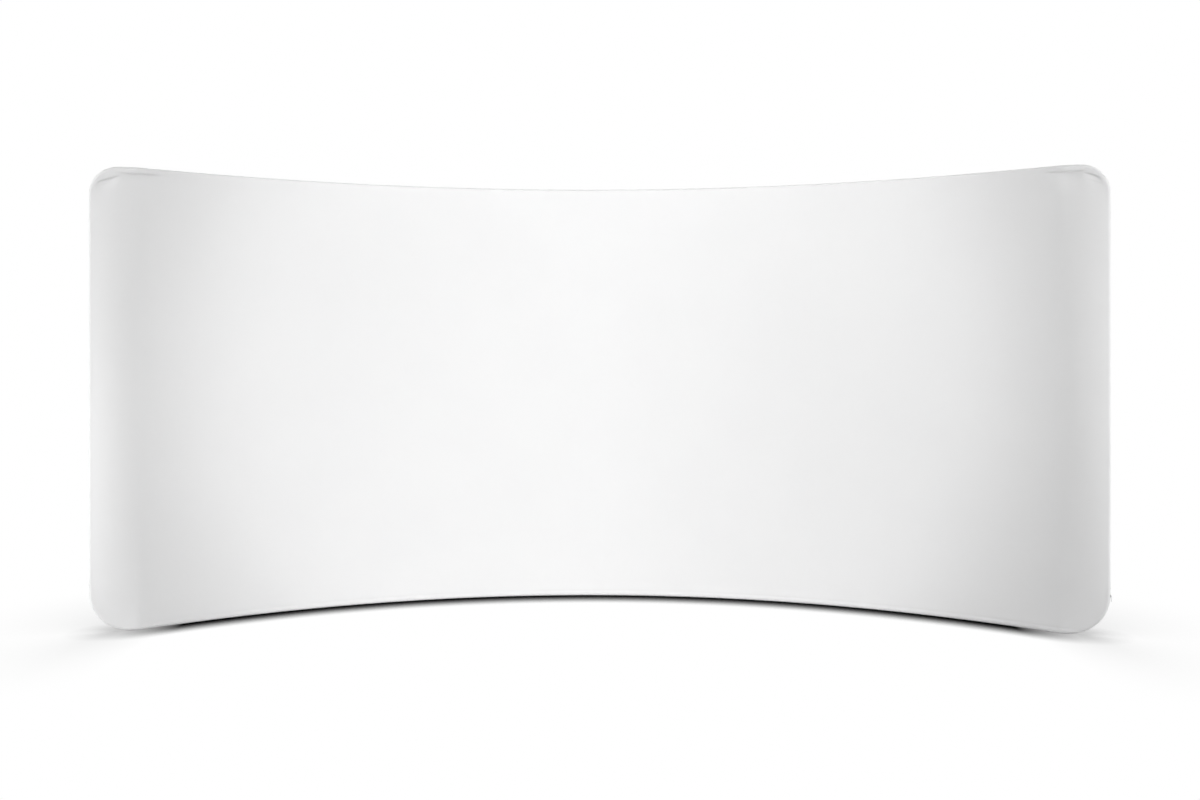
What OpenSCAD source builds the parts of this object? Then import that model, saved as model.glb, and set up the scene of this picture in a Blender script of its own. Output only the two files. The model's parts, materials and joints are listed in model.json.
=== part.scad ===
// Curved display wall: an aluminium tube frame inside a stretch fabric cover.
// X runs along the wall, Z is up, and the hollow side of the curve faces -Y.
// The origin is on the floor, below the middle of the bottom edge.

/* [Wall] */
// Height from the floor to the top edge
wall_h = 2300; // [1900:10:2600]
// Plan radius of the curved rails, to the middle of the tube
arc_r = 3800; // [3200:50:5000]
// Angle of the curved rails on each side of the middle
arc_half = 36.5; // [24:0.5:40]
// Plan radius of the return bend near each end
return_r = 120; // [80:10:400]
// Angle that each return bend turns back
return_turn = 22; // [8:1:34]

/* [Corners] */
// Radius of the top corner bends, to the middle of the tube
top_bend_r = 120; // [80:5:170]
// Radius of the bottom corner bends, to the middle of the tube
bottom_bend_r = 180; // [80:5:190]
// Straight tube before the larger corner bend
corner_lead = 5; // [2:1:60]
// Height of a corner tube, from its rail to the joint with the upright
corner_h = 235; // [200:5:400]
// Length of a corner tube along the curved rail
corner_arc = 60; // [20:5:150]

/* [Tubes] */
// Outside diameter of every tube
tube_d = 32; // [28:1:40]
// Wall of every tube
tube_wall = 1.5; // [1.2:0.1:2]
// Gap all round between a spigot and the tube that slides over it
fit_gap = 0.2; // [0.1:0.05:0.4]
// Length of each spigot
spigot_len = 45; // [36:1:80]
// Length over which a tube narrows to its spigot
swage_len = 3; // [2:0.5:6]

/* [Tee fittings] */
// Length of a tee fitting's body along the rail
tee_len = 60; // [50:2:90]
// Height of a tee fitting's neck above the middle of the rail
neck_h = 24; // [20:1:40]
// How much less the neck's radius is than the tube's
neck_inset = 1; // [0.6:0.1:1.3]

/* [Snap buttons] */
// Diameter of the button
button_d = 7.4; // [5:0.2:9]
// How far the button stands out of the tube
button_rise = 2.5; // [1.5:0.1:4]
// Gap all round between the button and its hole
button_gap = 0.15; // [0.1:0.05:0.3]
// Rounding of the button's edge
button_round = 1.2; // [0.4:0.1:1.4]
// Width of the leaf spring under the button
leaf_w = 7; // [5:0.5:9]
// Thickness of the leaf spring
leaf_t = 0.8; // [0.5:0.1:1.2]
// Length of the leaf spring from the button to its bend
leaf_len = 24; // [16:1:28]
// Outside radius of the leaf spring's bend
leaf_bend_r = 4; // [3:0.5:5]
// Gap between the leaf spring and the inside of its spigot
leaf_gap = 0.3; // [0.2:0.1:0.6]

/* [Cover] */
// Thickness of the stretch fabric
cover_t = 0.8; // [0.6:0.1:1.2]
// Gap between the tubes and the fabric
cover_gap = 0.3; // [0.2:0.1:1]
// Width of the seam that joins the two panels
seam_w = 6; // [4:0.5:10]
// How far the seam stands out of the fabric
seam_rise = 0.2; // [0.1:0.1:0.6]

/* [Zip] */
// Width of the zip's coil
coil_w = 6; // [4:0.5:8]
// How far the coil stands out of the fabric
coil_rise = 0.4; // [0.2:0.1:1]
// Width of each zip tape that shows beside the coil
tape_w = 6; // [3:0.5:8]
// Length of the zip above each bottom corner bend
zip_leg = 40; // [25:1:60]
// Length of the stop at each end of the zip
stop_len = 4; // [2:0.5:8]
// Thickness of the stops
stop_t = 0.8; // [0.5:0.1:1.5]

/* [Zip slider and pull] */
// Width of the slider's plate
slider_w = 10; // [9:0.5:16]
// Height of the slider's plate
slider_h = 12; // [8:0.5:20]
// Thickness of the slider's plate
slider_t = 1.6; // [1:0.1:3]
// Gap between the slider and the coil
slider_gap = 0.3; // [0.2:0.1:0.6]
// Thickness of each of the slider's two ears
ear_t = 1.2; // [0.8:0.1:2]
// Radius of the ears round the pin
ear_r = 1.9; // [1.5:0.1:3]
// Diameter of the pin that holds the pull
pin_d = 1.8; // [1.2:0.1:2.2]
// Gap all round between the pin and the pull's eye
pin_gap = 0.08; // [0.04:0.01:0.1]
// Wall of the pull's eye
eye_wall = 1; // [0.6:0.1:1.6]
// Width of the pull's eye
eye_w = 4; // [3:0.2:6]
// Gap between the pull's eye and each ear, and between it and the plate
eye_gap = 0.3; // [0.2:0.1:0.6]
// Length of the pull below its pin
pull_len = 28; // [15:1:40]
// Width of the pull's tab
pull_w = 7; // [6:0.5:10]
// Thickness of the pull's tab
pull_t = 1.2; // [0.8:0.1:2]
// Diameter of the finger hole in the pull
pull_hole_d = 3; // [2:0.2:4]

/* [Hidden] */
$fn = 64;
rail_fn = 360;
section_fn = 64;
SIDES = ["left", "right"];
EDGES = ["bottom", "top"];
RUNS = ["inner", "outer"];
POSTS = ["left", "centre", "right"];
HALVES = ["lower", "upper"];
LEVELS = ["lower", "middle", "upper"];
CLOTH = [0.96, 0.96, 0.96];
TAPE = [0.90, 0.90, 0.90];
METAL = [0.77, 0.78, 0.79];
STEEL = [0.66, 0.67, 0.69];
past = 1; // how far a cut, or a neck that sinks into another shape, runs past the surface
lap = 0.5; // how far one stretch of a long sweep reaches into the next
ease = 0.05; // how much thinner all round the stretch is that does so
leaf_room = 2; // depth of a tee's bore below the leaf spring
tab_gap = 2; // gap between the pull's tab and the slider's ears
corner_share = 0.2; // rounding of the slider's and the pull's corners, for a width of 1

tube_r = tube_d / 2;
bore_r = tube_r - tube_wall;
spigot_r = bore_r - fit_gap;
spigot_bore_r = spigot_r - tube_wall;
neck_r = tube_r - neck_inset;
cover_in_r = tube_r + cover_gap;
cover_out_r = cover_in_r + cover_t;
coil_t = cover_t + coil_rise;
zip_edge = coil_w / 2 + tape_w;

bottom_z = cover_in_r + coil_t;
top_z = wall_h - cover_out_r - seam_rise;
middle_z = (bottom_z + top_z) / 2;
rail_rise = top_z - bottom_z;

corner_run = max(top_bend_r, bottom_bend_r) + corner_lead;
post_a = arc_half / 2;
corner_a = arc_half - arc_deg(corner_arc);
zip_end_h = bottom_bend_r + zip_leg;
upright_end_h = rail_rise - top_bend_r;

leaf_x = sqrt(pow(spigot_bore_r, 2) - pow(leaf_w / 2, 2)) - leaf_gap;
leaf_reach = leaf_len + leaf_bend_r;
tee_bore_h = neck_h + spigot_len / 2 - leaf_reach - leaf_room;

eye_r = pin_d / 2 + pin_gap + eye_wall;
pin_x = slider_t + eye_gap + eye_r;
ear_y = eye_w / 2 + eye_gap;
pull_neck = max(ear_r, eye_r) + tab_gap;

// Angle on the rail's curve of a length along it
function arc_deg(length) = length / arc_r * 180 / PI;
function bend_r(edge) = edge == "top" ? top_bend_r : bottom_bend_r;

// Places. In each, X runs along the wall, away from the middle, and +Y is the back.

module on_side(side) {
    if (side == "left") mirror([1, 0, 0]) children();
    else children();
}

// On the rail's curve, at an angle from the middle
module on_arc(angle) {
    translate([0, -arc_r, 0]) rotate([0, 0, -angle]) translate([0, arc_r, 0]) children();
}

// Where the return bend ends and the straight end of the wall begins
module on_end() {
    on_arc(arc_half) translate([0, return_r, 0]) rotate([0, 0, return_turn])
        translate([0, -return_r, 0]) children();
}

module on_upright() {
    on_end() translate([corner_run, 0, 0]) children();
}

module on_post(post) {
    if (post == "centre") children();
    else on_side(post) on_arc(post_a) children();
}

// At a rail's height, with Z pointing from that rail into the wall
module on_edge(edge) {
    translate([0, 0, bottom_z]) {
        if (edge == "top") from_top() children();
        else children();
    }
}

// From the bottom rail's height to the top rail's
module from_top() {
    translate([0, 0, rail_rise]) mirror([0, 0, 1]) children();
}

// At a snap button of a column whose ends are base_h from the rails
module on_joint(level, base_h) {
    if (level == "middle") translate([0, 0, middle_z + spigot_len / 2]) children();
    else on_edge(level == "lower" ? "bottom" : "top") translate([0, 0, base_h + spigot_len / 2]) children();
}

// At the snap button in the rail, with Z along the spigot and X into the wall
module on_rail_joint() {
    on_arc(corner_a - arc_deg(spigot_len / 2)) rotate([0, -90, 0]) children();
}

// Sweeps of a section whose X is the offset to the back and whose Y points into the wall.

module sweep_arc(from, to) {
    translate([0, -arc_r, 0]) rotate([0, 0, 90 - to]) rotate_extrude(angle = to - from, $fn = rail_fn)
        translate([arc_r, 0]) children();
}

// The return bend laps into its neighbours, so its section is an eased one
module sweep_return() {
    lap_a = lap / return_r * 180 / PI;
    on_arc(arc_half) translate([0, return_r, 0]) rotate([0, 0, -90 - lap_a])
        rotate_extrude(angle = return_turn + 2 * lap_a, $fn = rail_fn)
        translate([return_r, 0]) mirror([1, 0]) children();
}

// The last three start where the return bend ends

module sweep_run(length) {
    rotate([90, 0, 90]) linear_extrude(length) children();
}

module sweep_bend(radius, from, to) {
    translate([corner_run - radius, 0, radius]) rotate([90, 0, 0]) rotate([0, 0, from - 90])
        rotate_extrude(angle = to - from) translate([radius, 0]) mirror([1, 1]) children();
}

module sweep_up(from, to) {
    translate([corner_run, 0, from]) rotate([0, 0, 90]) linear_extrude(to - from) children();
}

// Sections

module disc(radius) {
    circle(r = radius, $fn = section_fn);
}

module ring(outer, inner) {
    difference() {
        disc(outer);
        disc(inner);
    }
}

module tube_section(eased = 0) {
    ring(tube_r - eased, bore_r + eased);
}

module swage_section() {
    ring(tube_r, spigot_bore_r);
}

module spigot_section() {
    ring(spigot_r, spigot_bore_r);
}

// Holds a curved spigot inside the end of its tube
module neck_section() {
    ring((tube_r + bore_r) / 2, spigot_bore_r - ease);
}

// The fabric's wrap round the outer half of a tube, between two offsets to the front
module wrap_section(near, far, outer, eased = 0) {
    intersection() {
        ring(outer - eased, cover_in_r + eased);
        translate([eased - far, -outer - past]) square([far - near - 2 * eased, outer + past]);
    }
}

module facing(face) {
    if (face == "back") mirror([1, 0, 0]) children();
    else children();
}

// Frame

module button_hole() {
    rotate([0, 90, 0]) cylinder(h = tube_r + past, r = button_d / 2 + button_gap);
}

module rail(edge, side, run) {
    from = run == "inner" ? arc_deg(tee_len / 2) : post_a + arc_deg(tee_len / 2);
    to = run == "inner" ? post_a - arc_deg(tee_len / 2) : corner_a;
    color(METAL) on_edge(edge) on_side(side) difference() {
        sweep_arc(from, to) tube_section();
        if (run == "outer") on_rail_joint() button_hole();
    }
}

module tee(edge, post) {
    body_a = arc_deg(tee_len / 2);
    spigot_a = body_a + arc_deg(spigot_len);
    color(METAL) on_edge(edge) on_post(post) difference() {
        union() {
            sweep_arc(-body_a, body_a) disc(tube_r);
            sweep_arc(body_a - arc_deg(lap), spigot_a) spigot_section();
            sweep_arc(-spigot_a, arc_deg(lap) - body_a) spigot_section();
            cylinder(h = neck_h, r = neck_r);
            cylinder(h = neck_h + spigot_len, r = spigot_r);
        }
        translate([0, 0, tee_bore_h]) cylinder(h = neck_h + spigot_len, r = spigot_bore_r);
        translate([0, 0, neck_h + spigot_len / 2]) button_hole();
    }
}

module corner(edge, side) {
    radius = bend_r(edge);
    color(METAL) on_edge(edge) on_side(side) difference() {
        union() {
            sweep_arc(corner_a - arc_deg(spigot_len), corner_a + arc_deg(swage_len - lap)) spigot_section();
            sweep_arc(corner_a + arc_deg(lap), corner_a + arc_deg(swage_len)) neck_section();
            sweep_arc(corner_a, arc_half) tube_section();
            sweep_return() tube_section(ease);
            on_end() {
                sweep_run(corner_run - radius) tube_section();
                sweep_bend(radius, 0, 90) tube_section();
                sweep_up(radius, corner_h - swage_len) tube_section();
                sweep_up(corner_h - swage_len, corner_h) swage_section();
                sweep_up(corner_h, corner_h + spigot_len) spigot_section();
            }
        }
        on_rail_joint() button_hole();
        on_upright() translate([0, 0, corner_h + spigot_len / 2]) rotate([0, 0, 180]) button_hole();
    }
}

// One half of an upright or a post; the lower half has the spigot
module column(half, base_h) {
    lower_z = bottom_z + base_h;
    swage_z = middle_z - swage_len;
    difference() {
        if (half == "lower") {
            translate([0, 0, lower_z]) linear_extrude(swage_z - lower_z) tube_section();
            translate([0, 0, swage_z]) linear_extrude(swage_len) swage_section();
            translate([0, 0, middle_z]) linear_extrude(spigot_len) spigot_section();
        } else {
            translate([0, 0, middle_z]) linear_extrude(top_z - base_h - middle_z) tube_section();
        }
        on_joint(half, base_h) button_hole();
        on_joint("middle", base_h) button_hole();
    }
}

module upright(side, half) {
    color(METAL) on_side(side) on_upright() rotate([0, 0, 180]) column(half, corner_h);
}

module post(post, half) {
    color(METAL) on_post(post) column(half, neck_h);
}

// Snap buttons

// A button on its leaf spring, at the button's middle, with the tube along Z
module snap_button() {
    stud_len = tube_r + button_rise - leaf_x + leaf_t;
    stud_r = button_d / 2;
    color(STEEL) {
        translate([leaf_x - leaf_t, 0, 0]) rotate([0, 90, 0]) rotate_extrude() {
            square([stud_r, stud_len - button_round]);
            square([stud_r - button_round, stud_len]);
            translate([stud_r - button_round, stud_len - button_round]) circle(r = button_round);
        }
        translate([leaf_x - leaf_t, -leaf_w / 2, -leaf_len]) cube([leaf_t, leaf_w, leaf_len + button_d / 2]);
        translate([leaf_x - leaf_bend_r, 0, -leaf_len]) rotate([90, 0, 0]) rotate([0, 0, 180])
            rotate_extrude(angle = 180)
            translate([leaf_bend_r - leaf_t, -leaf_w / 2]) square([leaf_t, leaf_w]);
        translate([leaf_x - 2 * leaf_bend_r, -leaf_w / 2, -leaf_len]) cube([leaf_t, leaf_w, leaf_len]);
    }
}

module post_button(post, level) {
    on_post(post) on_joint(level, neck_h) snap_button();
}

module upright_button(side, level) {
    on_side(side) on_upright() rotate([0, 0, 180]) on_joint(level, corner_h) snap_button();
}

module rail_button(edge, side) {
    on_edge(edge) on_side(side) on_rail_joint() snap_button();
}

// Cover

// The stretch of the cover's edge that the zip closes. The second child is the eased section
module zip_path() {
    on_edge("bottom") {
        sweep_arc(-arc_half, arc_half) children(0);
        for (side = SIDES) on_side(side) {
            sweep_return() children(1);
            on_end() {
                sweep_run(corner_run - bottom_bend_r) children(0);
                sweep_bend(bottom_bend_r, 0, 90) children(0);
                sweep_up(bottom_bend_r, zip_end_h) children(0);
            }
        }
    }
}

// The rest of the cover's edge, which is sewn. The second child is the eased section
module seam_path() {
    on_edge("top") {
        sweep_arc(-arc_half, arc_half) children(0);
        for (side = SIDES) on_side(side) sweep_return() children(1);
    }
    on_edge("bottom") for (side = SIDES) on_side(side) on_end() seam_end() children(0);
}

// The sewn edge from the return bend of the top rail down to the zip
module seam_end() {
    from_top() {
        sweep_run(corner_run - top_bend_r) children(0);
        sweep_bend(top_bend_r, 0, 90) children(0);
    }
    sweep_up(zip_end_h, upright_end_h) children(0);
}

module corner_cut(radius) {
    difference() {
        translate([-radius, -past]) square(radius + past);
        translate([-radius, radius]) disc(radius);
    }
}

// The flat fabric between the return bend and the middle of the upright
module end_sheet() {
    rotate([90, 0, 0]) translate([0, 0, cover_in_r]) linear_extrude(cover_t) difference() {
        square([corner_run, rail_rise]);
        translate([corner_run, 0]) corner_cut(bottom_bend_r);
        translate([corner_run, rail_rise]) mirror([0, 1]) corner_cut(top_bend_r);
    }
}

module zip_side_wrap(eased = 0) {
    wrap_section(zip_edge, cover_out_r, cover_out_r, eased);
}

module seam_side_wrap(eased = 0) {
    wrap_section(seam_w / 2, cover_out_r, cover_out_r, eased);
}

// The fabric from the zip under the bottom rail to the seam on the top rail
module panel_section(eased = 0) {
    translate([eased - cover_out_r, 0]) square([cover_t - 2 * eased, rail_rise]);
    zip_side_wrap(eased);
    translate([0, rail_rise]) mirror([0, 1]) seam_side_wrap(eased);
}

module panel_end(face) {
    mirror([0, face == "back" ? 1 : 0, 0]) end_sheet();
    sweep_run(corner_run - bottom_bend_r) facing(face) zip_side_wrap();
    sweep_bend(bottom_bend_r, 0, 90) facing(face) zip_side_wrap();
    sweep_up(bottom_bend_r, zip_end_h) facing(face) zip_side_wrap();
    seam_end() facing(face) seam_side_wrap();
}

module panel(face) {
    color(CLOTH) on_edge("bottom") union() {
        sweep_arc(-arc_half, arc_half) facing(face) panel_section();
        for (side = SIDES) on_side(side) {
            sweep_return() facing(face) panel_section(ease);
            on_end() panel_end(face);
        }
    }
}

module front_panel() {
    panel("front");
}

module back_panel() {
    panel("back");
}

module edge_seam() {
    color(CLOTH) seam_path() {
        wrap_section(-seam_w / 2, seam_w / 2, cover_out_r + seam_rise);
        wrap_section(-seam_w / 2, seam_w / 2, cover_out_r + seam_rise, ease);
    }
}

// Zip

module zip_tape(face) {
    color(TAPE) zip_path() {
        facing(face) wrap_section(coil_w / 2, zip_edge, cover_out_r);
        facing(face) wrap_section(coil_w / 2, zip_edge, cover_out_r, ease);
    }
}

module coil_section(inner, outer, eased = 0) {
    translate([eased - coil_w / 2, eased - outer]) square([coil_w - 2 * eased, outer - inner - 2 * eased]);
}

module zip_coil() {
    color(TAPE) zip_path() {
        coil_section(cover_in_r, cover_in_r + coil_t);
        coil_section(cover_in_r, cover_in_r + coil_t, ease);
    }
}

module zip_stops() {
    stop_in_r = cover_in_r + coil_t;
    color(STEEL) on_edge("bottom") for (side = SIDES) on_side(side) on_end()
        sweep_up(zip_end_h - stop_len, zip_end_h) coil_section(stop_in_r, stop_in_r + stop_t);
}

// On the slider's inner face, with X pointing away from the wall's end
module on_slider() {
    on_edge("bottom") on_upright()
        translate([cover_in_r + coil_t + slider_gap, 0, bottom_bend_r]) children();
}

module rounded_plate(width, height) {
    radius = corner_share * width;
    square([width, height - 2 * radius], center = true);
    square([width - 2 * radius, height], center = true);
    for (x = [-1, 1], y = [-1, 1])
        translate([x * (width / 2 - radius), y * (height / 2 - radius)]) circle(r = radius);
}

module zip_slider() {
    color(STEEL) on_slider() {
        rotate([90, 0, 90]) linear_extrude(slider_t) rounded_plate(slider_w, slider_h);
        for (y = [-ear_y - ear_t, ear_y]) translate([0, y, 0]) {
            translate([slider_t, 0, -ear_r]) cube([pin_x - slider_t, ear_t, 2 * ear_r]);
            translate([pin_x, ear_t, 0]) rotate([90, 0, 0]) cylinder(h = ear_t, r = ear_r);
        }
        translate([pin_x, ear_y + ear_t, 0]) rotate([90, 0, 0])
            cylinder(h = 2 * (ear_y + ear_t), r = pin_d / 2);
    }
}

module zip_pull() {
    tab_h = pull_len - pull_neck;
    color(STEEL) on_slider() translate([pin_x, 0, 0]) difference() {
        union() {
            translate([0, eye_w / 2, 0]) rotate([90, 0, 0]) cylinder(h = eye_w, r = eye_r);
            translate([-pull_t / 2, -eye_w / 2, -pull_neck - past]) cube([pull_t, eye_w, pull_neck + past]);
            translate([-pull_t / 2, 0, -pull_neck - tab_h / 2]) rotate([90, 0, 90])
                linear_extrude(pull_t) rounded_plate(pull_w, tab_h);
        }
        translate([0, eye_w, 0]) rotate([90, 0, 0]) cylinder(h = 2 * eye_w, r = pin_d / 2 + pin_gap);
        translate([-pull_t, 0, -pull_len + pull_w / 2]) rotate([0, 90, 0])
            cylinder(h = 2 * pull_t, r = pull_hole_d / 2);
    }
}

for (e = EDGES, s = SIDES, r = RUNS)
    rail(e, s, r);
for (e = EDGES, p = POSTS)
    tee(e, p);
for (e = EDGES, s = SIDES)
    corner(e, s);
for (s = SIDES, h = HALVES)
    upright(s, h);
for (p = POSTS, h = HALVES)
    post(p, h);
for (p = POSTS, l = LEVELS)
    post_button(p, l);
for (s = SIDES, l = LEVELS)
    upright_button(s, l);
for (e = EDGES, s = SIDES)
    rail_button(e, s);
front_panel();
back_panel();
edge_seam();
zip_tape("front");  // zip_tape_front
zip_tape("back");  // zip_tape_back
zip_coil();
zip_stops();
zip_slider();
zip_pull();
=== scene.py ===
import json
from math import cos, exp, hypot, pi, radians, sin
import bpy
import bmesh
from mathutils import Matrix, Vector


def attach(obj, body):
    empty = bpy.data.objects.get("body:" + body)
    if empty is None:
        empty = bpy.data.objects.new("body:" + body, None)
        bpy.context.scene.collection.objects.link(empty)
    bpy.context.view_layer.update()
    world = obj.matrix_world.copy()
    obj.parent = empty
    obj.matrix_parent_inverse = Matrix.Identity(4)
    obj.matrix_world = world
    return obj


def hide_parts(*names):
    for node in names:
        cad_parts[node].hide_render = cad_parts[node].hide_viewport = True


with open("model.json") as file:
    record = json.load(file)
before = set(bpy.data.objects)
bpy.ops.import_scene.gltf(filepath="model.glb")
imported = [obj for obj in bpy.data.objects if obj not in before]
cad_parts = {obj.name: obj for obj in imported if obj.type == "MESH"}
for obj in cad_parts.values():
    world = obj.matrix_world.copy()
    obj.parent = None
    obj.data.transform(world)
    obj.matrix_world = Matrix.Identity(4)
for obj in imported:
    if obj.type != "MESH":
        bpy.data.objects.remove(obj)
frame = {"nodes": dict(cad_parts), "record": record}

print("reading the frame")
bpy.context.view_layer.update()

# the wall's plan and outline, in metres and degrees, as the tubes have them
wall = {
    "arcRadius": 3.8, "arcHalf": 36.5,  # the main curve, and half of its angle
    "returnRadius": 0.12, "returnTurn": 22.0,  # the bend back at each end of it
    "cornerRun": 0.185,  # from that bend to the side edge
    "topBend": 0.12, "bottomBend": 0.18,  # the rounded corners
    "railLow": 0.0175, "railHigh": 2.2827,  # the middles of the two rails
    "zipTop": 0.2375,  # where the zip ends at each side
    "jointHeight": 0.235,  # from a rail to the plug joint of an upright
    "fabricOut": 0.0171, "fabricThick": 0.0008,  # the cloth's face, from a tube's middle
}
arcLength = wall["arcRadius"] * radians(wall["arcHalf"])
returnLength = wall["returnRadius"] * radians(wall["returnTurn"])
halfLength = arcLength + returnLength + wall["cornerRun"]
postPlace = arcLength / 2
kinkPlace = arcLength + returnLength / 2
wrapRadius = wall["fabricOut"]


def smooth(t):
    t = max(0.0, min(1.0, t))
    return t * t * (3 - 2 * t)


def mix(a, b, t):
    return a + (b - a) * t


# the middle of the rail at a length from the middle of the wall, and its heading
def planPoint(s):
    side, s = (-1 if s < 0 else 1), abs(s)
    turned = min(s, arcLength) / wall["arcRadius"]
    x, y = wall["arcRadius"] * sin(turned), wall["arcRadius"] * (cos(turned) - 1)
    heading = turned
    rest = s - arcLength
    if rest > 0:
        back = min(rest, returnLength) / wall["returnRadius"]
        along, off = wall["returnRadius"] * sin(back), wall["returnRadius"] * (1 - cos(back))
        x += along * cos(turned) + off * sin(turned)
        y += off * cos(turned) - along * sin(turned)
        heading = turned - back
        straight = max(0.0, rest - returnLength)
        x += straight * cos(heading)
        y -= straight * sin(heading)
    return side * x, y, side * heading


def wallPoint(s, z, back):  # back is the distance behind the middle of the tubes
    x, y, heading = planPoint(s)
    return Vector((x + back * sin(heading), y + back * cos(heading), z))


def spread(*runs):  # runs of (start, end, count) joined into one list of places
    places = [runs[0][0]]
    for start, end, count in runs:
        places += [mix(start, end, k / count) for k in range(1, count + 1)]
    return places


def meshObject(name, bm):
    mesh = bpy.data.meshes.new(name)
    bm.to_mesh(mesh)
    bm.free()
    mesh.polygons.foreach_set("use_smooth", [True] * len(mesh.polygons))
    obj = bpy.data.objects.new(name, mesh)
    bpy.context.scene.collection.objects.link(obj)
    return obj


# a grid whose points are put in place by a function of column and row, which gives
# the point and its place on the flat cloth
def gridMesh(columns, rows, place, flip=False):
    bm = bmesh.new()
    bmesh.ops.create_grid(bm, x_segments=len(columns) - 1, y_segments=len(rows) - 1, size=1)
    layer = bm.loops.layers.uv.new("flat")
    flat = {}
    for v in bm.verts:
        i = round((v.co.x + 1) / 2 * (len(columns) - 1))
        j = round((v.co.y + 1) / 2 * (len(rows) - 1))
        v.co, flat[v] = place(columns[i], rows[j])
    for face in bm.faces:
        for loop in face.loops:
            loop[layer].uv = flat[loop.vert]
    if flip:
        bmesh.ops.reverse_faces(bm, faces=bm.faces)
    return bm


def thicken(obj, thickness):  # from the outer face inwards
    mod = obj.modifiers.new("cloth", "SOLIDIFY")
    mod.thickness = thickness
    mod.offset = -1
    mod.use_even_offset = True
    return obj


print("setting the camera")
view = {
    "place": (0.0861, -5.905, 1.403), "turn": 0.0134,
    "sensor": 36, "lens": 31.218, "shift": -0.04338, "farthest": 200,
}
camera = bpy.data.objects.new("camera", bpy.data.cameras.new("camera"))
camera.location = view["place"]
camera.rotation_euler = (pi / 2, 0, view["turn"])
camera.data.sensor_width = view["sensor"]
camera.data.lens = view["lens"]
camera.data.shift_y = view["shift"]
camera.data.clip_end = view["farthest"]
bpy.context.scene.collection.objects.link(camera)
bpy.context.scene.camera = camera


# each material is a function that builds its own nodes
def newMaterial(name, base, roughness, metallic=0.0):
    mat = bpy.data.materials.new(name)
    mat.use_nodes = True
    shader = mat.node_tree.nodes["Principled BSDF"]
    shader.inputs["Base Color"].default_value = (*base, 1)
    shader.inputs["Roughness"].default_value = roughness
    shader.inputs["Metallic"].default_value = metallic
    return mat, mat.node_tree.nodes, mat.node_tree.links, shader


def calc(nodes, links, operation, *values):  # numbers are set, sockets are linked
    node = nodes.new("ShaderNodeMath")
    node.operation = operation
    for socket, value in zip(node.inputs, values):
        if isinstance(value, (int, float)):
            socket.default_value = value
        else:
            links.new(value, socket)
    return node.outputs[0]


def times(nodes, links, a, b):
    return calc(nodes, links, "MULTIPLY", a, b)


def oneLess(nodes, links, a):
    return calc(nodes, links, "SUBTRACT", 1.0, a)


def tint(nodes, links, factor, low, high, socket):
    blend = nodes.new("ShaderNodeMix")
    blend.data_type = "RGBA"
    blend.inputs["A"].default_value = (*low, 1)
    blend.inputs["B"].default_value = (*high, 1)
    links.new(factor, blend.inputs["Factor"])
    links.new(blend.outputs["Result"], socket)


def bump(nodes, links, height, distance, shader):
    node = nodes.new("ShaderNodeBump")
    node.inputs["Strength"].default_value = 1.0
    node.inputs["Distance"].default_value = distance
    links.new(height, node.inputs["Height"])
    links.new(node.outputs["Normal"], shader.inputs["Normal"])


def noise(nodes, links, coords, scale, detail):
    node = nodes.new("ShaderNodeTexNoise")
    node.inputs["Scale"].default_value = scale
    node.inputs["Detail"].default_value = detail
    links.new(coords, node.inputs["Vector"])
    return node.outputs["Fac"]


def flatCoords(nodes, links):  # the piece's own flat pattern, in metres
    node = nodes.new("ShaderNodeUVMap")
    node.uv_map = "flat"
    split = nodes.new("ShaderNodeSeparateXYZ")
    links.new(node.outputs["UV"], split.inputs["Vector"])
    return node.outputs["UV"], split.outputs["X"], split.outputs["Y"]


def wave(nodes, links, along, pitch):
    return calc(nodes, links, "SINE", times(nodes, links, along, 2 * pi / pitch))


# two rows of stitches, one on each side of the middle, a row's distance from it
def stitchRows(nodes, links, along, across, look):
    apart = calc(nodes, links, "ABSOLUTE", across)
    row = calc(nodes, links, "COMPARE", apart, look["row"], look["rowHalf"])
    dash = calc(nodes, links, "GREATER_THAN", wave(nodes, links, along, look["stitch"]), look["gap"])
    return times(nodes, links, row, dash)


knit = {
    "low": (0.915, 0.915, 0.918), "high": (0.945, 0.945, 0.945), "blotch": 2.4,
    "wale": 0.0009, "course": 0.0006, "depth": 0.00005,  # the loops across, up and out
    "fuzz": 900, "fuzzShare": 0.8,
    "roughness": 0.86, "sheen": 0.12, "sheenRoughness": 0.45, "specular": 0.2,
}


def coverFabric():
    mat, nodes, links, shader = newMaterial("coverFabric", knit["high"], knit["roughness"])
    uv, across, up = flatCoords(nodes, links)
    tint(nodes, links, noise(nodes, links, uv, knit["blotch"], 3), knit["low"], knit["high"],
         shader.inputs["Base Color"])
    wales = wave(nodes, links, across, knit["wale"])
    courses = wave(nodes, links, up, knit["course"])
    loops = times(nodes, links, calc(nodes, links, "ABSOLUTE", wales), courses)
    fuzz = times(nodes, links, noise(nodes, links, uv, knit["fuzz"], 2), knit["fuzzShare"])
    bump(nodes, links, calc(nodes, links, "ADD", loops, fuzz), knit["depth"], shader)
    shader.inputs["Sheen Weight"].default_value = knit["sheen"]
    shader.inputs["Sheen Roughness"].default_value = knit["sheenRoughness"]
    shader.inputs["Specular IOR Level"].default_value = knit["specular"]
    return mat


seamLook = {
    "low": (0.89, 0.89, 0.89), "high": (0.94, 0.94, 0.94), "blotch": 60,
    "row": 0.002, "rowHalf": 0.00035, "stitch": 0.003, "gap": -0.55,
    "rib": 0.0011, "ribShare": 0.25, "depth": 0.00025,
    "roughness": 0.84, "sheen": 0.1,
}


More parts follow.
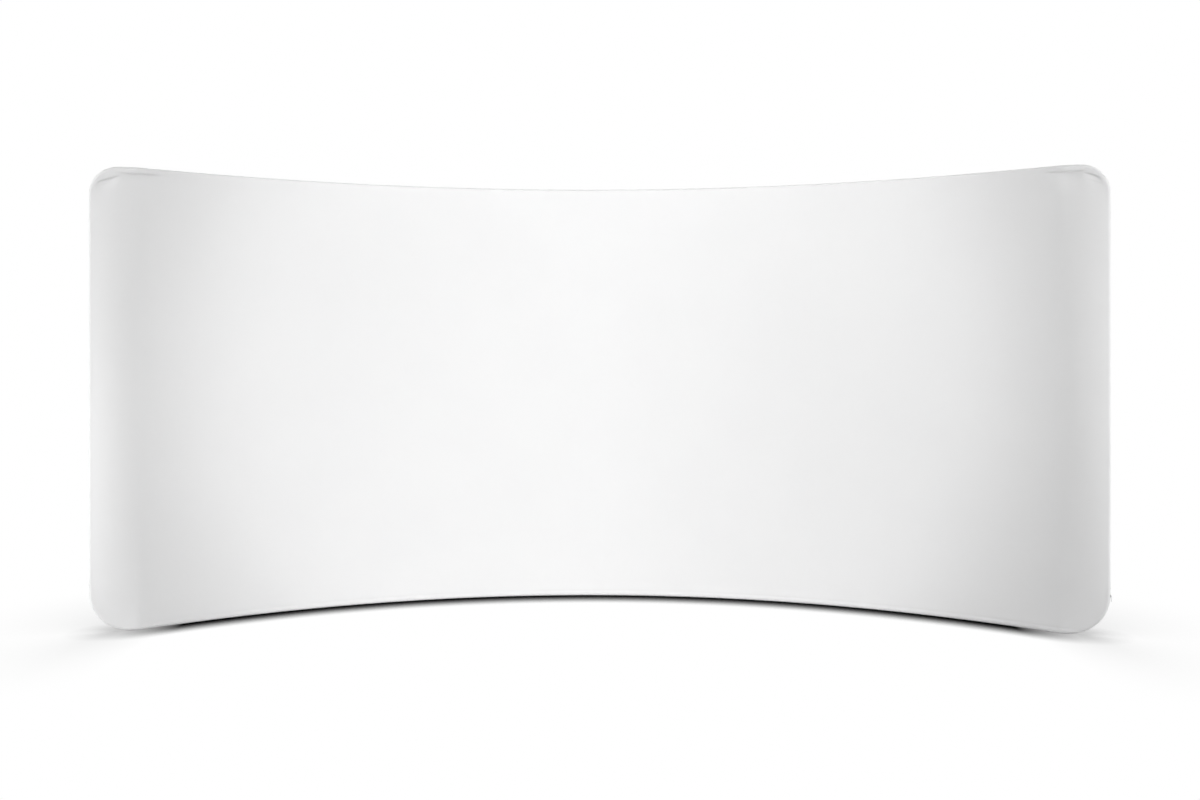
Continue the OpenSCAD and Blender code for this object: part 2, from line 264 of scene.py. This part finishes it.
def seamFabric():  # the flat pattern runs along the seam, and then across it
    mat, nodes, links, shader = newMaterial("seamFabric", seamLook["high"], seamLook["roughness"])
    uv, along, across = flatCoords(nodes, links)
    stitches = stitchRows(nodes, links, along, across, seamLook)
    ribs = times(nodes, links, wave(nodes, links, along, seamLook["rib"]), seamLook["ribShare"])
    bump(nodes, links, calc(nodes, links, "ADD", stitches, ribs), seamLook["depth"], shader)
    tint(nodes, links, noise(nodes, links, uv, seamLook["blotch"], 3), seamLook["low"],
         seamLook["high"], shader.inputs["Base Color"])
    shader.inputs["Sheen Weight"].default_value = seamLook["sheen"]
    return mat


tapeLook = {
    "low": (0.82, 0.82, 0.82), "high": (0.89, 0.89, 0.89), "blotch": 300,
    "row": 0.0075, "rowHalf": 0.0003, "stitch": 0.0026, "gap": -0.5, "stitchShare": 3.0,
    "rib": 0.0007, "depth": 0.0001, "roughness": 0.8,
}


def zipTapeFabric():
    mat, nodes, links, shader = newMaterial("zipTapeFabric", tapeLook["high"], tapeLook["roughness"])
    uv, along, across = flatCoords(nodes, links)
    herring = calc(nodes, links, "ADD", along, calc(nodes, links, "ABSOLUTE", across))
    weave = wave(nodes, links, herring, tapeLook["rib"])
    stitches = stitchRows(nodes, links, along, across, tapeLook)
    stitches = times(nodes, links, stitches, tapeLook["stitchShare"])
    bump(nodes, links, calc(nodes, links, "ADD", weave, stitches), tapeLook["depth"], shader)
    tint(nodes, links, noise(nodes, links, uv, tapeLook["blotch"], 2), tapeLook["low"],
         tapeLook["high"], shader.inputs["Base Color"])
    return mat


# the coil's colour is painted shade: low is the darker colour in the grooves between its turns, high
# the lighter colour on their crowns
coilLook = {
    "low": (0.80, 0.80, 0.79), "high": (0.88, 0.88, 0.87), "grooveShade": 0.35,
    "pitch": 0.0016, "depth": 0.00025, "roughness": 0.42,
}


def zipCoilNylon():
    mat, nodes, links, shader = newMaterial("zipCoilNylon", coilLook["high"], coilLook["roughness"])
    uv, along, across = flatCoords(nodes, links)
    side = calc(nodes, links, "SIGN", across)
    halves = times(nodes, links, side, coilLook["pitch"] / 4)  # the two halves mesh
    loops = wave(nodes, links, calc(nodes, links, "ADD", along, halves), coilLook["pitch"])
    bump(nodes, links, loops, coilLook["depth"], shader)
    # painted shade: the colour follows the bump wave, darker in the grooves between the coil's turns
    # and lighter on their crowns
    paintedShade = calc(nodes, links, "MULTIPLY_ADD", loops, coilLook["grooveShade"], 0.5)
    tint(nodes, links, paintedShade, coilLook["low"], coilLook["high"], shader.inputs["Base Color"])
    return mat


metalLooks = {  # fine lines run along Z, as drawn or cast
    "tubeAluminium": {"low": (0.70, 0.71, 0.73), "high": (0.80, 0.81, 0.82),
                      "roughness": 0.36, "grain": 700, "depth": 0.00004},
    "fittingAluminium": {"low": (0.62, 0.63, 0.65), "high": (0.74, 0.75, 0.76),
                         "roughness": 0.46, "grain": 260, "depth": 0.00008},
    "springSteel": {"low": (0.50, 0.51, 0.53), "high": (0.66, 0.67, 0.69),
                    "roughness": 0.28, "grain": 900, "depth": 0.00003},
    "zipZinc": {"low": (0.44, 0.44, 0.45), "high": (0.56, 0.56, 0.57),
                "roughness": 0.38, "grain": 500, "depth": 0.00004},
}
metalLines = {"stretch": 0.08, "roughnessSpan": 0.22, "blotchShare": 1 / 20}


def metal(name):
    look = metalLooks[name]
    mat, nodes, links, shader = newMaterial(name, look["high"], look["roughness"], 1.0)
    place = nodes.new("ShaderNodeTexCoord").outputs["Object"]
    stretch = nodes.new("ShaderNodeMapping")
    stretch.inputs["Scale"].default_value = (1, 1, metalLines["stretch"])
    links.new(place, stretch.inputs["Vector"])
    drawn = noise(nodes, links, stretch.outputs["Vector"], look["grain"], 4)
    blotches = noise(nodes, links, place, look["grain"] * metalLines["blotchShare"], 3)
    tint(nodes, links, blotches, look["low"], look["high"], shader.inputs["Base Color"])
    span = metalLines["roughnessSpan"]
    worn = calc(nodes, links, "MULTIPLY_ADD", drawn, span, look["roughness"] - span / 2)
    links.new(worn, shader.inputs["Roughness"])
    bump(nodes, links, drawn, look["depth"], shader)
    return mat


print("making the materials")
fabric, seamCloth = coverFabric(), seamFabric()
tapeCloth, coilNylon = zipTapeFabric(), zipCoilNylon()
slotFinish = {
    "tube": metal("tubeAluminium"), "fitting": metal("fittingAluminium"),
    "spring_steel": metal("springSteel"), "zip_metal": metal("zipZinc"),
    "cover_fabric": fabric, "zip_tape": tapeCloth, "zip_coil": coilNylon,
}
for part in frame["record"]["subparts"]:
    node = frame["nodes"][part["node"]]
    for piece in (node if isinstance(node, (list, tuple)) else [node]):
        piece.data.materials.clear()
        piece.data.materials.append(slotFinish[part["material_slot"]])


# the cover is two taut sheets, one over each face, with their edges wrapped round the tubes
cover = {
    "seamTurn": 79.9,  # the wrap round a tube ends at the seam, in degrees from the flat
    "zipTurn": 58.2,  # and here beside the zip
    "turnChange": 0.006,  # the height above the zip over which the one becomes the other
    "endSweep": 0.9,  # how much of the bend at the ends the front cloth spreads over the end
    "kinkWidth": 0.12, "kinkShare": 0.35,  # how wide and how much the back cloth spreads it
    "bayFront": 0.004, "bayBack": 0.006,  # how much the cloth flattens between two posts
    "postRidge": 0.0009, "postWidth": 0.022,  # the soft ridge over a post
    "ripple": 0.0009,  # slow upright waves in the taut cloth
    "setIn": 0.16, "fullness": 0.4,  # these grow over this height from the rails, and how fast
    "hemDip": 0.0010, "hemUp": 0.012, "hemWidth": 0.005,  # where it leaves the bottom tube
    "creaseFrom": 0.004, "creaseOver": 0.014,  # so far inside the tube's middle, clear of the tube
    "creaseBack": 0.7,  # how much of a crease shows in the back cloth
    "jointRise": 0.0016, "jointOff": 0.010, "jointWidth": 0.0055,  # two low ridges at each joint
}
ripples = ((0.43, 0.9, 0.35, 1.0), (0.27, -1.7, 0.0, 0.7))  # pitch, start, lean, share
zSpan = wall["railHigh"] - wall["railLow"]

creases = [  # side, (s, z) from, (s, z) to, steep half width, easy half width, depth
    (-1, (2.315, 2.2660), (2.560, 2.2650), 0.0050, 0.090, 0.0145),
    (-1, (2.510, 2.2555), (2.655, 2.2090), 0.0045, 0.022, 0.0090),
    (-1, (2.530, 2.2265), (2.645, 2.1900), 0.0070, 0.025, 0.0028),
    (1, (2.360, 2.2660), (2.585, 2.2650), 0.0050, 0.090, 0.0145),
    (1, (2.538, 2.2600), (2.656, 2.2220), 0.0045, 0.022, 0.0080),
    (1, (2.550, 2.2270), (2.645, 2.1930), 0.0070, 0.025, 0.0022),
]


def creaseDepth(s, z):  # steep on its upper side, easy below, deepest half way along
    total = 0.0
    for side, (s0, z0), (s1, z1), width, easy, depth in creases:
        ds, dz = s1 - s0, z1 - z0
        t = ((abs(s) - s0) * ds + (z - z0) * dz) / (ds * ds + dz * dz)
        if side * s > 0 and 0 < t < 1:
            off = (z - z0) - dz * t
            total += depth * exp(-(off / (width if off > 0 else easy)) ** 2) * sin(pi * t) ** 2
    return total


def fillet(t, width):  # how far a rounded bend lies behind a sharp one
    half = width / 2
    return radians(wall["returnTurn"]) / (2 * width) * max(0.0, half - abs(t)) ** 2


def endSweep(s):  # how far a bend spread over the whole end lies in front of the tubes
    t = abs(s) - arcLength
    span, turn = returnLength + wall["cornerRun"], radians(wall["returnTurn"])
    if not 0 < t < span:
        return 0.0
    tube = t * t / (2 * returnLength) if t < returnLength else t - returnLength / 2
    even = (span - returnLength / 2) * (t / span) ** 2
    return turn * (tube - even)


def edgeHeight(s, rail, bend, towards):  # the rail's height, or the corner bend's
    over = max(0.0, abs(s) - (halfLength - bend))
    return rail - towards * (bend - max(0.0, bend * bend - over * over) ** 0.5)


def clothRelief(s, z, inside, face):  # how far the taut cloth lies behind its rails
    if inside <= 0:
        return 0.0
    under = min(edgeHeight(s, wall["railHigh"], wall["topBend"], 1) - z,
                z - edgeHeight(s, wall["railLow"], wall["bottomBend"], -1))
    free = smooth(under / cover["setIn"])
    height = max(0.0, sin(pi * (z - wall["railLow"]) / zSpan)) ** cover["fullness"] * free
    near = min(abs(abs(s) - p) for p in (0.0, postPlace))
    ridge = cover["postRidge"] * exp(-(near / cover["postWidth"]) ** 2)
    wander = cover["ripple"] * sum(share * sin(2 * pi * s / pitch + start + lean * z)
                                   for pitch, start, lean, share in ripples)
    bay = sin(pi * (abs(s) % postPlace / postPlace)) ** 2 if abs(s) < arcLength else 0.0
    hem = cover["hemDip"] * exp(-((z - wall["railLow"] - cover["hemUp"]) / cover["hemWidth"]) ** 2)
    fold = creaseDepth(s, z) * smooth((inside - cover["creaseFrom"]) / cover["creaseOver"])
    if face == "front":
        sweep = cover["endSweep"] * endSweep(s)
        return fold + hem - (sweep + cover["bayFront"] * bay + ridge + wander) * height
    t = abs(s) - kinkPlace
    kink = max(0.0, fillet(t, cover["kinkWidth"]) - fillet(t, returnLength))
    loose = cover["kinkShare"] * kink - cover["bayBack"] * bay + ridge + wander
    return loose * height - cover["creaseBack"] * fold - hem


def wrapLength(turn):
    return wrapRadius * radians(turn)


sewn, zipped = wrapLength(cover["seamTurn"]), wrapLength(cover["zipTurn"])

# the grid's lines lie closer where the cloth bends, folds or changes its wrap
cornerSteps = spread((0.0, 0.50, 14), (0.50, 0.80, 22), (0.80, 1.0, 10))
halfSteps = spread((0.03, 0.45, 14), (0.45, 0.52, 14), (0.52, 0.925, 16), (0.925, 1.0, 26))
middleSteps = [-m for m in reversed(halfSteps)] + spread((-0.03, 0.03, 12))[1:-1] + halfSteps
upSteps = spread((0.0, 0.0204, 4), (0.0204, 0.0236, 4), (0.0236, 0.94, 44), (0.94, 1.0, 12))
columns = (
    [(-1, -1.0, a) for a in reversed(cornerSteps[1:])]
    + [(0, m, 0.0) for m in middleSteps]
    + [(1, 1.0, a) for a in cornerSteps[1:]]
)
rows = (
    [(-1, 0.0, b) for b in reversed(cornerSteps[1:])]
    + [(0, n, 0.0) for n in upSteps]
    + [(1, 1.0, b) for b in cornerSteps[1:]]
)


# a grid point's (s, z) on the flat cloth, how far inside the outline it is, and the way out
def flatPlace(column, row):
    side, m, a = column
    end, n, b = row
    bend = mix(wall["bottomBend"], wall["topBend"], smooth(n))
    low, high = wall["railLow"] + wall["bottomBend"], wall["railHigh"] - wall["topBend"]
    z = mix(low, high, n)
    if end < 0:
        bend, spare = wall["bottomBend"], zipped
    elif end > 0:
        bend, spare = wall["topBend"], sewn
    else:
        spare = mix(zipped, sewn, smooth((z - wall["zipTop"]) / cover["turnChange"]))
    centre = halfLength - bend
    reach = bend + spare
    if side == 0 and end == 0:
        s = m * centre
        inside = min(z - wall["railLow"], wall["railHigh"] - z, halfLength - abs(s))
        return s, z, inside, 0.0, 0.0
    if side == 0:
        out = b * reach
        return m * centre, z + end * out, bend - out, 0.0, float(end)
    if end == 0:
        out = a * reach
        return side * (centre + out), z, bend - out, float(side), 0.0
    radius = max(a, b) * reach
    turn = pi / 4 * b / a if a >= b else pi / 2 - pi / 4 * a / b
    return (side * (centre + radius * cos(turn)), z + end * radius * sin(turn), bend - radius,
            side * cos(turn), end * sin(turn))


def jointRise(s, z, outward):  # the cloth over the plug joints of the uprights
    if abs(outward) < 0.5:  # along the rails
        return 0.0
    rise = 0.0
    for joint in (wall["railHigh"] - wall["jointHeight"], wall["railLow"] + wall["jointHeight"]):
        for off in (-cover["jointOff"], cover["jointOff"]):
            rise += exp(-((z - joint + off) / cover["jointWidth"]) ** 2)
    return cover["jointRise"] * rise


def clothPlace(face):
    sign = -1 if face == "front" else 1

    def place(column, row):
        s, z, inside, ds, dz = flatPlace(column, row)
        if inside >= 0:
            back = sign * wrapRadius + clothRelief(s, z, inside, face)
            return wallPoint(s, z, back), (s, z)
        turn = -inside / wrapRadius
        radius = wrapRadius + jointRise(s, z, ds) * sin(turn)
        reach = inside + radius * sin(turn)
        return wallPoint(s + ds * reach, z + dz * reach, sign * radius * cos(turn)), (s, z)

    return place


def makeCloth(name, face):
    bm = gridMesh(columns, rows, clothPlace(face), flip=face == "back")
    obj = thicken(meshObject(name, bm), wall["fabricThick"])
    obj.data.materials.append(fabric)
    return obj


print("stretching the cover")
frontCloth = makeCloth("frontCloth", "front")
backCloth = makeCloth("backCloth", "back")


# places along the cover's edge, from left to right: (length, s, z, outward s, outward z),
# a fine step apart at the sides and in the corners
def outline(zipSide, step, fine, start=wall["zipTop"]):
    bend = wall["bottomBend"] if zipSide else wall["topBend"]
    railZ, towards = (wall["railLow"], -1) if zipSide else (wall["railHigh"], 1)
    half, centreZ = halfLength - bend, railZ - towards * bend
    legs = spread((start, centreZ, max(1, round(abs(centreZ - start) / fine))))
    side = [(-halfLength, z, -1.0, 0.0) for z in legs]
    count = round(bend * pi / 2 / fine)
    for k in range(1, count + 1):
        t = pi / 2 * k / count
        side.append((-half - bend * cos(t), centreZ + towards * bend * sin(t),
                     -cos(t), towards * sin(t)))
    count = round(2 * half / step)
    rail = [(mix(-half, half, k / count), railZ, 0.0, float(towards)) for k in range(1, count)]
    points = side + rail + [(-s, z, -ds, dz) for s, z, ds, dz in reversed(side)]
    length, path = 0.0, []
    for k, point in enumerate(points):
        if k:
            length += hypot(point[0] - points[k - 1][0], point[1] - points[k - 1][1])
        path.append((length, *point))
    return path


def strip(name, path, section, material, thickness):  # section is a list of (offset, radius)
    def place(along, across):
        length, s, z, ds, dz = along
        offset, radius = across
        turn = offset / wrapRadius
        rise = radius + jointRise(s, z, ds) * cos(turn)
        reach = rise * cos(turn)
        return wallPoint(s + ds * reach, z + dz * reach, rise * sin(turn)), (length, offset)

    bm = gridMesh(path, section, place)
    bm.normal_update()
    _, s, z, ds, dz = path[len(path) // 2]
    inner, outer = wallPoint(s, z, 0), wallPoint(s + ds * 0.01, z + dz * 0.01, 0)
    nearest = min(bm.faces, key=lambda f: (f.calc_center_median() - outer).length)
    if nearest.normal.dot(outer - inner) < 0:
        bmesh.ops.reverse_faces(bm, faces=bm.faces)
    obj = meshObject(name, bm)
    obj.data.materials.append(material)
    return thicken(obj, thickness)


paths = {"step": 0.02, "fine": 0.008, "coilFine": 0.004}
seam = {"halfWidth": 0.0036, "crown": 0.00045, "lift": 0.00012, "edgeLift": 0.00005, "thick": 0.0009}
print("sewing the seam")
seamPath = outline(False, paths["step"], paths["fine"])


def seamRadius(t):  # a low crown whose edges lie on the cloth
    if abs(t) == 1:
        return wrapRadius + seam["edgeLift"]
    return wrapRadius + seam["lift"] + seam["crown"] * (1 - t * t) ** 0.5


seamSection = [(seam["halfWidth"] * t, seamRadius(t))
               for t in (-1, -0.93, -0.75, -0.45, -0.15, 0.15, 0.45, 0.75, 0.93, 1)]
edgeSeam = strip("edgeSeam", seamPath, seamSection, seamCloth, seam["thick"])

zipper = {
    "tape": ((0.0027, -0.0001), (0.005, 0.00005), (0.0072, 0.00003),  # offset and lift, outwards
             (0.0088, -0.00012), (0.0096, -0.0004)),
    "tapeTail": 0.009, "tapeThick": 0.0006,  # the tails lie under the seam
    "coilHalf": 0.0029, "crown": 0.0004, "groove": 0.00022, "grooveWidth": 0.13, "coilThick": 0.001,
}
print("setting in the zip")
tapePath = outline(True, paths["step"], paths["fine"], wall["zipTop"] + zipper["tapeTail"])
tapeSection = [(offset, wrapRadius + lift) for offset, lift in zipper["tape"]]
otherSection = [(-offset, radius) for offset, radius in reversed(tapeSection)]
backTape = strip("zipTapeBack", tapePath, tapeSection, tapeCloth, zipper["tapeThick"])
frontTape = strip("zipTapeFront", tapePath, otherSection, tapeCloth, zipper["tapeThick"])


def coilRadius(t):  # a low crown with a groove where the two halves meet
    groove = zipper["groove"] * exp(-(t / zipper["grooveWidth"]) ** 2)
    return wrapRadius + zipper["crown"] * (1 - abs(t) ** 3) - groove


coilPath = outline(True, paths["step"], paths["coilFine"])
coilSection = [(zipper["coilHalf"] * t, coilRadius(t))
               for t in (-1, -0.85, -0.6, -0.3, -0.12, 0, 0.12, 0.3, 0.6, 0.85, 1)]
coil = strip("zipCoil", coilPath, coilSection, coilNylon, zipper["coilThick"])

for cloth, node, tape, seamPiece in ((frontCloth, "front_panel", frontTape, [edgeSeam]),
                                     (backCloth, "back_panel", backTape, [])):
    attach(cloth, "wall")
    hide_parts(node)
for piece, node, slotName in ((edgeSeam, "edge_seam", "cover_fabric"),
                              (frontTape, "zip_tape_front", "zip_tape"),
                              (backTape, "zip_tape_back", "zip_tape"),
                              (coil, "zip_coil", "zip_coil")):
    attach(piece, "wall")
    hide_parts(node)


print("laying the floor")
# the floor's seen colour is white with a painted shadow: a dark contact line close under the wall,
# and a faint painted pool of shadow behind the wall and at its ends, both shaped from ambient
# occlusion
floorLook = {
    "half": 30, "bounce": (0.62, 0.62, 0.62), "seen": (1.0, 1.0, 1.0),
    "contact": 0.17, "darkest": 0.56, "fall": 1.8,  # the shadow close under the wall
    "endShare": 0.3, "endFrom": 2.10, "endTo": 2.34,  # what is left of it at the lifted corners
    "pool": 1.0, "poolOpen": 0.5, "poolDepth": 0.30,  # the faint one behind and at the ends
    "poolOver": 0.2, "poolFrom": 2.15, "poolTo": 2.45,  # where that one sets in
    "samples": 12,
}
bm = bmesh.new()
bmesh.ops.create_grid(bm, x_segments=8, y_segments=8, size=floorLook["half"])
floor = meshObject("floor", bm)


def nearness(nodes, distance):  # how open the floor is to the sky within a distance
    node = nodes.new("ShaderNodeAmbientOcclusion")
    node.samples = floorLook["samples"]
    node.inputs["Distance"].default_value = distance
    return node.outputs["AO"]


def ramp(nodes, links, value, low, high):
    node = nodes.new("ShaderNodeMapRange")
    node.inputs["From Min"].default_value = low
    node.inputs["From Max"].default_value = high
    links.new(value, node.inputs["Value"])
    return node.outputs["Result"]


def blendSeen(nodes, links, unseen, seen, socket):  # seen is for the eye, mirrors and glass
    path = nodes.new("ShaderNodeLightPath")
    rays = calc(nodes, links, "MAXIMUM", path.outputs["Is Camera Ray"], path.outputs["Is Glossy Ray"])
    rays = calc(nodes, links, "MAXIMUM", rays, path.outputs["Is Transmission Ray"])
    blend = nodes.new("ShaderNodeMixShader")
    links.new(rays, blend.inputs["Fac"])
    links.new(unseen.outputs[0], blend.inputs[1])
    links.new(seen.outputs[0], blend.inputs[2])
    links.new(blend.outputs[0], socket)


def floorMaterial():
    mat = bpy.data.materials.new("paleFloor")
    mat.use_nodes = True
    nodes, links = mat.node_tree.nodes, mat.node_tree.links
    nodes.clear()
    out = nodes.new("ShaderNodeOutputMaterial")
    # painted shadow: the seen colour darkens by ambient occlusion close under the wall, less at the
    # lifted corners, and faintly behind the wall and beside its ends
    close = ramp(nodes, links, nearness(nodes, floorLook["contact"]), floorLook["darkest"], 1.0)
    close = oneLess(nodes, links, calc(nodes, links, "POWER", close, floorLook["fall"]))
    coords = nodes.new("ShaderNodeTexCoord").outputs["Object"]
    place = nodes.new("ShaderNodeSeparateXYZ")
    links.new(coords, place.inputs["Vector"])
    across = calc(nodes, links, "ABSOLUTE", place.outputs["X"])
    lifted = ramp(nodes, links, across, floorLook["endFrom"], floorLook["endTo"])
    kept = oneLess(nodes, links, times(nodes, links, lifted, 1 - floorLook["endShare"]))
    close = oneLess(nodes, links, times(nodes, links, close, kept))
    fromMiddle = nodes.new("ShaderNodeVectorMath")  # distance from the middle of the wall's curve
    fromMiddle.operation = "DISTANCE"
    fromMiddle.inputs[1].default_value = (0, -wall["arcRadius"], 0)
    links.new(coords, fromMiddle.inputs[0])
    behind = ramp(nodes, links, fromMiddle.outputs["Value"], wall["arcRadius"],
                  wall["arcRadius"] + floorLook["poolOver"])
    beside = ramp(nodes, links, across, floorLook["poolFrom"], floorLook["poolTo"])
    aside = calc(nodes, links, "MAXIMUM", behind, beside)
    wide = ramp(nodes, links, nearness(nodes, floorLook["pool"]), 1.0, floorLook["poolOpen"])
    wide = times(nodes, links, times(nodes, links, wide, aside), floorLook["poolDepth"])
    paintedShade = times(nodes, links, close, oneLess(nodes, links, wide))
    dull = nodes.new("ShaderNodeBsdfDiffuse")
    dull.inputs["Color"].default_value = (*floorLook["bounce"], 1)
    seen = nodes.new("ShaderNodeEmission")
    # the painted shadow goes into the emitted colour that the camera sees
    tint(nodes, links, paintedShade, (0, 0, 0), floorLook["seen"], seen.inputs["Color"])
    blendSeen(nodes, links, dull, seen, out.inputs["Surface"])
    return mat


floor.data.materials.append(floorMaterial())

print("hanging the lights")
skyStrength = 0.15
lamps = {  # a spot has a cone, in degrees, and the softness of its rim
    "middle": {"place": (0.0, -9.0, 2.5), "aim": (0.0, 0.0, 1.3), "power": 665,
               "size": 0.3, "cone": (33, 0.5)},
    "wideFront": {"place": (-0.5, -9.0, 1.6), "aim": (-0.4, 0.0, 1.15), "power": 265,
                  "size": 0.6, "cone": (54, 1.0)},
    "leftSide": {"place": (-7.0, -3.5, 2.0), "aim": (0.0, 0.0, 1.2), "power": 178,
                 "size": (2.0, 2.0)},
    "rightSide": {"place": (7.0, -3.5, 2.0), "aim": (0.0, 0.0, 1.2), "power": 186,
                  "size": (2.0, 2.0)},
    "nearLeft": {"place": (-5.5, -6.0, 1.8), "aim": (-2.45, -0.8, 1.15), "power": 90,
                 "size": 0.6, "cone": (36, 1.0)},
    "lowLeft": {"place": (-5.0, -4.0, 0.5), "aim": (-2.4, -0.8, 0.4), "power": 112,
                "size": 0.4, "cone": (36, 1.0)},
    "nearRight": {"place": (5.0, -4.0, 4.0), "aim": (2.4, -0.8, 2.0), "power": 34,
                  "size": 0.6, "cone": (36, 1.0)},
    "overhead": {"place": (0.0, -2.5, 5.5), "aim": (0.0, -0.6, 0.0), "power": 84,
                 "size": (5.0, 2.0)},
    "behind": {"place": (0.0, 8.0, 3.5), "aim": (0.0, 0.0, 1.0), "power": 470,
               "size": (6.0, 2.0)},
}


def hangLamp(name, place, aim, power, size, cone=None):  # a round lamp with a cone, or a panel
    data = bpy.data.lights.new(name, "SPOT" if cone else "AREA")
    data.energy = power
    if cone:
        data.shadow_soft_size, data.spot_size, data.spot_blend = size, radians(cone[0]), cone[1]
    else:
        data.shape = "RECTANGLE"
        data.size, data.size_y = size
    lamp = bpy.data.objects.new(name, data)
    lamp.location = place
    lamp.rotation_euler = (Vector(aim) - Vector(place)).to_track_quat("-Z", "Y").to_euler()
    bpy.context.scene.collection.objects.link(lamp)


for name, lamp in lamps.items():
    hangLamp(name, **lamp)

world = bpy.data.worlds.new("studio")
bpy.context.scene.world = world
world.use_nodes = True
nodes, links = world.node_tree.nodes, world.node_tree.links
sky = nodes["Background"]
sky.inputs["Color"].default_value = (1, 1, 1, 1)
sky.inputs["Strength"].default_value = skyStrength
white = nodes.new("ShaderNodeBackground")
white.inputs["Color"].default_value = (1, 1, 1, 1)
blendSeen(nodes, links, sky, white, nodes["World Output"].inputs["Surface"])

bpy.context.scene.view_settings.view_transform = "Standard"

print("done")
